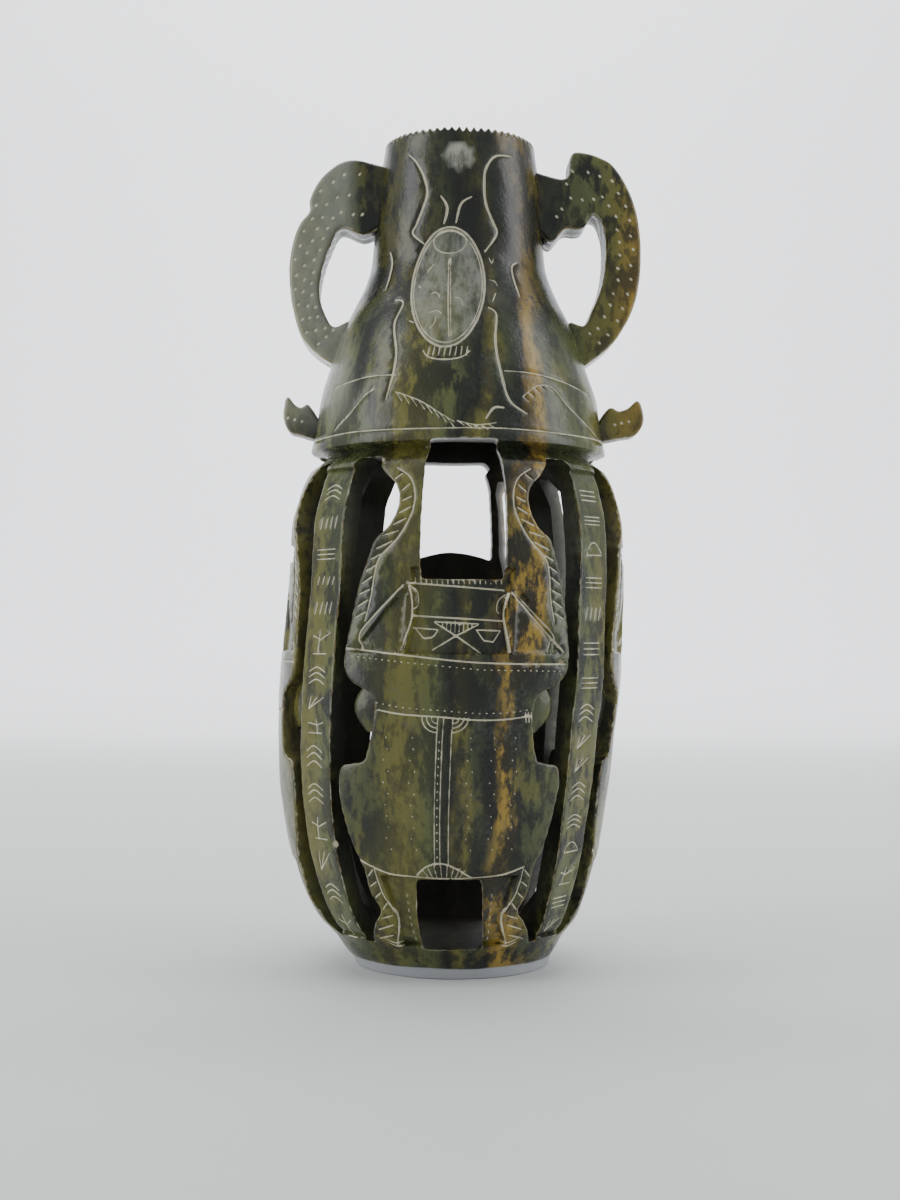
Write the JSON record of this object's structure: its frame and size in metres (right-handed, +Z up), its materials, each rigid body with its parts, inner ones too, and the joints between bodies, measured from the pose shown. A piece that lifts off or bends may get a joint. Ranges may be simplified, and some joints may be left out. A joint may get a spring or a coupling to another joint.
{
  "type": "openwork stone vase",
  "caption": "Carved hollow stone vase with pierced scarab panels between straight ribs, a flared neck with a scalloped rim, and two serpent handles.",
  "frame": {"origin": "centre of the bounding box at the underside of the base", "axes": "+Z up along the axis of the vase, -Y towards the front panel, handles along X"},
  "size_m": [0.1068, 0.1, 0.24],
  "materials": {
    "stone": "satin polish, banded dark green, olive and ochre, with pale cut lines"
  },
  "bodies": {
    "root": {"vase": "stone"}
  },
  "joints": []
}
